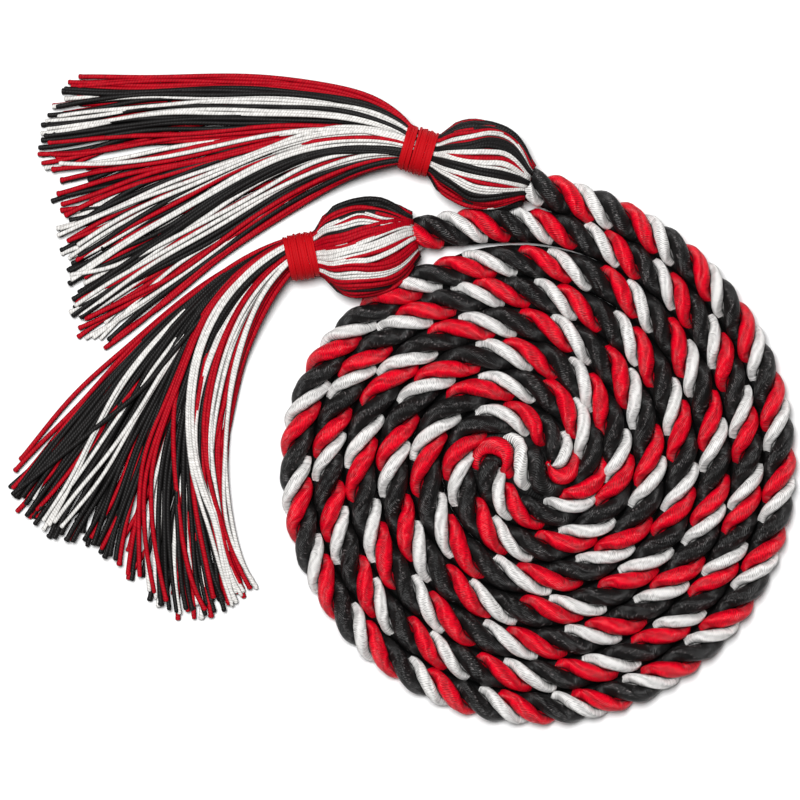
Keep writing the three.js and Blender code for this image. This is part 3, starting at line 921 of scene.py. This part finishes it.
# The heads' yarns: half the space between the two of a pair, and their thickness, by colour
HEAD_PAIR = {"r": 4.6, "w": 3.0, "k": 5.0}
HEAD_YARN_RADIUS = {"r": 0.00058, "w": 0.00042, "k": 0.00062}
HEAD_TUCK = 0.0004
HIDDEN_HEAD_YARNS = 32
HIDDEN_COLOURS = "rrk"
HIDDEN_TUCK = 0.0046
HIDDEN_WANDER = 0.06
HIDDEN_YARN_RADIUS = 0.00102


def heading(degrees):
    """The way that lies this many degrees round from the picture's right."""
    return np.array((math.cos(math.radians(degrees)), math.sin(math.radians(degrees)), 0))


def tassel_axes(tassel):
    """The way from the skirt to the rope, the way to its left, and the middle of the binding."""
    along = heading(tassel["heading"])
    to_binding = CLEARANCE + HEAD_LENGTH + CLEARANCE + BINDING_LENGTH / 2
    middle = tassel["rope_end"] - along * to_binding
    middle[2] = NECK_HEIGHT
    return along, heading(tassel["heading"] + 90), middle


def smooth_values(values, at):
    """Values read on a smooth line through the given ones, which are spaced evenly from 0 to 1."""
    values = np.asarray(values, dtype=float)
    ends = np.concatenate([[2 * values[0] - values[1]], values, [2 * values[-1] - values[-2]]])
    place = np.clip(at, 0, 1) * (len(values) - 1)
    step = np.minimum(place.astype(int), len(values) - 2)
    return between(place - step, *(ends[step + k] for k in range(4)))


def fan_value(table, fan):
    """A value of the skirt's fan, carried on past its two edges."""
    table = np.asarray(table, dtype=float)
    steps = np.linspace(0, 1, len(table))
    past = np.minimum(fan, 0) * (table[1] - table[0]) + np.maximum(fan - 1, 0) * (table[-1] - table[-2])
    return np.interp(fan, steps, table) + past * (len(table) - 1)


def skirt_line(tassel, fans, level, reach, sway):
    """The middle line of one yarn of the skirt, from the binding to its cut end, swaying a little."""
    along, across, middle = tassel_axes(tassel)
    even_stations = SKIRT_STATIONS + 1 - len(END_STEPS)
    share = np.concatenate([np.linspace(0, reach - END_STEPS[0], even_stations), reach - END_STEPS[1:]])
    swing = np.sin(2 * math.pi * (share * YARN_WAVES + sway)) * ease(share / SWAY_GROWS_OVER)
    level = np.interp(share, LEVEL_CHANGES, np.broadcast_to(level, 2))
    fan = (smooth_values(fans, share) + YARN_SWAY * swing) / 100
    length = fan_value(tassel["reach"], fan)[:, None] * SKIRT_LENGTH
    ways = [np.radians(fan_value(tassel[key], fan)) for key in ("bearing", "leave", "end")]
    bearing, leave, end = (
        np.stack([np.cos(way), np.sin(way), np.zeros(len(way))], axis=1) for way in ways
    )
    root_middle = middle - along * (BINDING_LENGTH / 2 + CLEARANCE)
    root = root_middle + across * ((0.5 - fan) * tassel["root_spread"])[:, None]
    tip = root_middle + bearing * length
    leaving = root + leave * length * ROOT_PULL
    arriving = tip - end * length * TIP_PULL
    t = np.minimum(share, 1)[:, None]
    line = (1 - t) ** 3 * root + 3 * (1 - t) ** 2 * t * leaving
    line = line + 3 * (1 - t) * t * t * arriving + t**3 * tip
    line += end * length * np.maximum(share - 1, 0)[:, None]
    line[:, 2] = skirt_height(share, fan, level, sway)
    start = line[0] + along * BINDING_LENGTH * STARTS_INSIDE
    start[:2] += (root_middle - root[0])[:2] * (1 - TIED_IN)
    return np.concatenate([[start], line])


def skirt_height(share, fan, level, sway):
    """How high a yarn of the skirt lies: tied up in the neck at first, then down on its level."""
    from_edge = np.clip(1 - np.abs(2 * fan - 1), LEAST_FROM_EDGE, 1)
    round_height = TIED_RADIUS * np.sqrt(1 - (1 - from_edge) ** 2 * NECK_ROUNDNESS)
    tied = NECK_HEIGHT + (2 * np.clip(level, 0, TOP_LEVEL) / TOP_LEVEL - 1) * round_height
    stack = STACK_AT_BINDING - STACK_LOST_AT_ENDS * share**2
    at_edge = STACK_AT_EDGE + (1 - STACK_AT_EDGE) * ease(from_edge / EDGE_RISES_OVER)
    laid = YARN_RADIUS + level / TOP_LEVEL * (stack - 2 * YARN_RADIUS) * at_edge
    laid = laid + RIPPLE * np.sin(2 * math.pi * (share * RIPPLE_WAVES + sway * RIPPLE_SWAY))
    return np.maximum(YARN_RADIUS, tied + (laid - tied) * ease(share / LIES_DOWN_BY))


def smooth_section(place, values):
    """A measure of the head's sections at these places, rounded between the given ones."""
    fine = np.linspace(0, 1, SECTION_STEPS)
    return np.interp(place, fine, softened(np.interp(fine, HEAD_PLACES, values), SECTION_SOFTENED_OVER))


def head_line(tassel, shares, depth, side=1):
    """The middle line of one yarn of the head, from inside the binding to the rope. The shares say
    how far across the head it lies, from 100 at the left edge to -100 at the right one."""
    along, across, middle = tassel_axes(tassel)
    place = np.linspace(HEAD_YARNS_FROM, 1, HEAD_STATIONS)
    size = smooth_section(place, HEAD_SIZES)
    bow = smooth_section(place, HEAD_BOWS)
    edge = EDGE_AT_BINDING + EDGE_GROWS_BY * ease(place / EDGE_GROWS_OVER)
    share_place = (place - HEAD_SHARES_FROM) / HEAD_SHARES_OVER
    share = np.clip(smooth_values(shares, share_place) / 100, -edge, edge)
    level = NECK_HEIGHT + (tassel["rope_end"][2] - NECK_HEIGHT) * np.clip(place, 0, 1)
    near_rope = ease((place - 1 + TUCK_NEAR_ROPE) / TUCK_NEAR_ROPE)
    tuck = depth * (TUCK_AT_MIDDLE + ease(1 - place / TUCK_NEAR_BINDING) + near_rope)
    wide = np.maximum(size * tassel["head_width"] / 2 - YARN_RADIUS - tuck, LEAST_HALF_SIZE)
    high = np.maximum(size * HEAD_HEIGHT / 2 - YARN_RADIUS - tuck, LEAST_HALF_SIZE)
    line = middle + along * (BINDING_LENGTH / 2 + CLEARANCE + place * HEAD_LENGTH)[:, None]
    line = line + across * (share * wide + bow * tassel["head_lean"])[:, None]
    height = side * np.sqrt(1 - np.minimum(np.abs(share), 1) ** 2) * high
    line[:, 2] = np.maximum(YARN_RADIUS, level + bow * HEAD_RISE + height)
    return line


def thin_tube(line, one_way, other_way, radius, sides, start=0):
    """A thin yarn's rings round its middle line, with its length and the way round it as its
    threads, whose twist starts this many millimetres on."""
    turn = np.linspace(0, 2 * math.pi, sides, endpoint=False)[None, :, None]
    round_it = np.cos(turn) * one_way[..., None, :] + np.sin(turn) * other_way[..., None, :]
    rings = line[:, None] + round_it * np.broadcast_to(radius, len(line))[:, None, None]
    shares = np.arange(sides + 1) / sides
    way = way_along(line)[:, None] * 1000 + start
    return rings, np.stack(np.broadcast_arrays(way, shares[None]), axis=-1)


def yarn_tube(line, radius, start):
    """A yarn of a tassel, which doesn't sink into the table."""
    rings, threads = thin_tube(line, *across_line(line), radius, YARN_SIDES, start)
    rings[..., 2] = np.maximum(rings[..., 2], LYING_HEIGHT)
    return rings, threads


def cut_end(bead):
    """How thick a yarn of the skirt is along its line, with a small sealed bead at its cut end."""
    thick = np.ones(SKIRT_STATIONS + 1)
    thick[-len(BEAD_SHAPE) :] = bead * BEAD_SHAPE
    return thick


BRAID_MEASURES = {"Plies per mm": 1.5, "Slant": 2.0, "Unevenness": 0.4}
PLY_FULLNESS = 0.6
PLY_GAP_SHADE_SHARE = 0.3
WANDER_SHARE = 0.8
BRAID_DARKEST = 0.2
UNDERSIDE_SHADE_RANGE = (0.05, 0.85)


def braid_group():
    """The twisted plies of a thin yarn, with a random mottled tone, painted shade in the lines between
    its plies, and painted shade on its sides and underside, dark away from the light above.
    """
    group, given, made = new_group("yarn_braid", BRAID_MEASURES)
    place, along, around = thread_place(group, "threads")
    wander = noise(group, place, scale=1.1, detail=2.0)
    slanted = maths(group, "MULTIPLY", around, given.outputs["Slant"])
    turns = maths(group, "MULTIPLY_ADD", along, given.outputs["Plies per mm"], slanted)
    turns = maths(group, "MULTIPLY_ADD", wander, given.outputs["Unevenness"], turns)
    lifted = maths(group, "MULTIPLY_ADD", wave(group, turns), 0.5, 0.5)
    lifted = maths(group, "POWER", lifted, PLY_FULLNESS)
    shade = maths(group, "MULTIPLY_ADD", wander, WANDER_SHARE, BRAID_DARKEST)
    # Painted shade in the lines between the twisted plies
    shade = maths(group, "MULTIPLY_ADD", lifted, PLY_GAP_SHADE_SHARE, shade)
    # Painted shade on the yarn's sides and underside, away from the light above
    shade = maths(group, "MULTIPLY", shade, spread(group, wave(group, around), *UNDERSIDE_SHADE_RANGE))
    join(group, shade, made.inputs["Shade"])
    join(group, lifted, made.inputs["Height"])
    return group


braid = braid_group()
YARN = {
    "r": satin(
        "red_yarn", braid, deep=(0.03, 0.0, 0.001), bright=(0.485, 0.001, 0.011),
        rough=0.6, specular=0.12, height=0.00006,
    ),
    "w": satin(
        "white_yarn", braid, deep=(0.06, 0.055, 0.05), bright=(0.88, 0.86, 0.83),
        rough=0.7, specular=0.1, height=0.00006,
    ),
    "k": satin(
        "black_yarn", braid, deep=(0.0, 0.0, 0.0), bright=(0.01, 0.009, 0.009),
        rough=0.55, specular=0.18, height=0.00006,
    ),
}
YARN_NAMES = {"r": "red", "w": "white", "k": "black"}

for tassel_name, tassel in TASSELS.items():
    quarters, count, seed = FILLERS[tassel_name]
    rng = random.Random(seed)
    tubes = {"r": [], "w": [], "k": []}
    for colour, level, *fans in tassel["skirt_yarns"]:
        radius = YARN_RADIUS * YARN_THICKNESS[colour] * rng.uniform(*THICKNESS_VARIES)
        radius = radius * cut_end(rng.uniform(*BEAD_VARIES))
        level = np.array(level) + rng.uniform(-LEVEL_VARIES, LEVEL_VARIES)
        line = skirt_line(tassel, fans, level, rng.uniform(*REACH_VARIES), rng.random())
        tubes[colour].append(yarn_tube(line, radius, rng.uniform(*TWIST_STARTS)))
    for order in range(count):
        middle_fan = FILLERS_FROM + (order + rng.uniform(*FILLER_PLACE)) / count * FILLERS_OVER
        fans = [middle_fan + rng.uniform(-FILLER_WANDER, FILLER_WANDER) for _ in range(POINTS_PER_YARN)]
        radius = YARN_RADIUS * cut_end(rng.uniform(*BEAD_VARIES))
        level, reach = rng.uniform(*FILLER_LEVELS), rng.uniform(*FILLER_REACH)
        line = skirt_line(tassel, fans, level, reach, rng.random())
        colour = rng.choice(quarters[int(len(quarters) * order / count)])
        tubes[colour].append(yarn_tube(line, radius, rng.uniform(*TWIST_STARTS)))
    for colour, depth, *shares in tassel["head_yarns"]:
        apart = HEAD_PAIR[colour]
        for beside in (-apart, apart) if depth == 0 else (0,):
            pair = [share + beside + rng.uniform(-HEAD_WANDER, HEAD_WANDER) for share in shares]
            line = head_line(tassel, pair, depth * HEAD_TUCK + rng.uniform(0, HEAD_TUCK_VARIES))
            radius = HEAD_YARN_RADIUS[colour] * rng.uniform(*HEAD_THICKNESS_VARIES)
            tubes[colour].append(yarn_tube(line, radius, rng.uniform(*TWIST_STARTS)))
    for order in range(HIDDEN_HEAD_YARNS):
        turned = 2 * math.pi * (order + 0.5) / HIDDEN_HEAD_YARNS
        side = 1 if math.sin(turned) > 0 else -1
        turns = [turned + rng.uniform(-HIDDEN_WANDER, HIDDEN_WANDER) for _ in range(POINTS_PER_YARN)]
        shares = [100 * math.cos(turn) for turn in turns]
        line = head_line(tassel, shares, HIDDEN_TUCK if side > 0 else 0.0, side)
        colour = rng.choice(HIDDEN_COLOURS)
        tubes[colour].append(yarn_tube(line, HIDDEN_YARN_RADIUS, rng.uniform(*TWIST_STARTS)))
    for colour, yarns in tubes.items():
        piece = skin(f"{tassel_name}_{YARN_NAMES[colour]}", yarns, YARN[colour])
        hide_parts(f"{tassel_name}_yarns")

# The bindings
# Red thread is wound tightly round each neck in one layer, and its end is drawn under the winding.
# On the upper neck two turns have slid apart a little, and the yarns below show between them.
BINDING_RADIUS = 0.0054
BINDING_BARREL = 0.0003
BINDING_TURNS = 14
STATIONS_PER_TURN = 40
THREAD_RADIUS = 0.00034
THREAD_SIDES = 6
PAST_THE_EDGE = 0.0004
OPEN_AT = -0.35
OPENS_OVER = 0.05
OPEN_GAP = {"upper_tassel": 0.0008, "lower_tassel": 0.0}
# The winding is a little uneven, outwards and along the neck: how much, and how often in a turn
UNEVEN_OUT = (0.00014, 0.37)
UNEVEN_ALONG = (0.0001, 0.73)


def wound_thread(tassel, gap):
    """The thread wound round the neck from the skirt to the head, with this gap between two turns."""
    along, across, middle = tassel_axes(tassel)
    share = np.linspace(-1, 1, BINDING_TURNS * STATIONS_PER_TURN + 1)
    angle = math.pi * BINDING_TURNS * share
    radius = BINDING_RADIUS - THREAD_RADIUS - BINDING_BARREL * share**2
    radius = radius + UNEVEN_OUT[0] * np.sin(angle * UNEVEN_OUT[1])
    place = share * (BINDING_LENGTH / 2 + PAST_THE_EDGE - THREAD_RADIUS)
    place = place + UNEVEN_ALONG[0] * np.sin(angle * UNEVEN_ALONG[1])
    place = place + gap / 2 * (ease((share - OPEN_AT) / OPENS_OVER) - 0.5)
    up = np.array((0, 0, 1))
    out = across * np.cos(angle)[:, None] + up * np.sin(angle)[:, None]
    line = middle + along * place[:, None] + out * radius[:, None]
    return thin_tube(line, out, along, THREAD_RADIUS, THREAD_SIDES)


binding_red = satin(
    "binding_red", braid, deep=(0.45, 0.0, 0.004), bright=(0.72, 0.003, 0.01),
    rough=0.6, specular=0.2, height=0.00002,
)
for tassel_name, tassel in TASSELS.items():
    thread = wound_thread(tassel, OPEN_GAP[tassel_name])
    piece = skin(f"{tassel_name}_winding", [thread], binding_red)
    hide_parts(f"{tassel_name}_binding")
